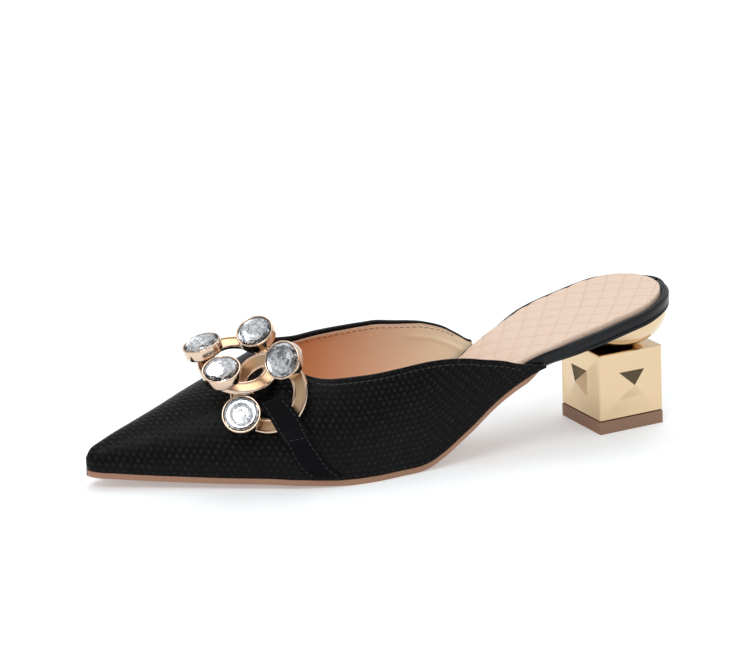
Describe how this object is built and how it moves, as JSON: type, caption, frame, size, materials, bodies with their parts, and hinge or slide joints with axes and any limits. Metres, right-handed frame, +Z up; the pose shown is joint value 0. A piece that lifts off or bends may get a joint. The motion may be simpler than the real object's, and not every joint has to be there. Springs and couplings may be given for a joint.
{
  "type": "heeled mule",
  "caption": "Left pointed-toe backless mule with a low cut upper, a quilted footbed, a cube heel under a bowl, and linked rings with crystals held on the vamp by a strap.",
  "frame": {"origin": "on the floor, in the middle of the heel top piece's underside", "axes": "-X to the toe tip, -Y to the outer (lateral) side, +Z up"},
  "size_m": [0.2545, 0.0751, 0.0652],
  "materials": {
    "upper_black": "black grained, satin",
    "board_black": "black smooth, semi-gloss",
    "nude_lining": "nude, quilted, matte",
    "nude_sole": "nude brown, matte",
    "tip_brown": "brown, matte",
    "pale_gold": "champagne gold, polished",
    "rose_gold": "rose gold, polished",
    "suede_black": "black suede",
    "clear_glass": "clear, faceted"
  },
  "bodies": {
    "root": {"upper": "upper_black", "outsole": "nude_sole", "footbed_board": "board_black", "sock_pad": "nude_lining", "heel_bowl": "pale_gold", "heel_cube": "pale_gold", "heel_top_piece": "tip_brown", "ring_outer": "rose_gold", "ring_inner": "rose_gold", "strap": "suede_black", "bezel_1": "rose_gold", "crystal_1": "clear_glass", "bezel_2": "rose_gold", "crystal_2": "clear_glass", "bezel_3": "rose_gold", "crystal_3": "clear_glass", "bezel_4": "rose_gold", "crystal_4": "clear_glass", "bezel_5": "rose_gold", "crystal_5": "clear_glass"}
  },
  "joints": []
}
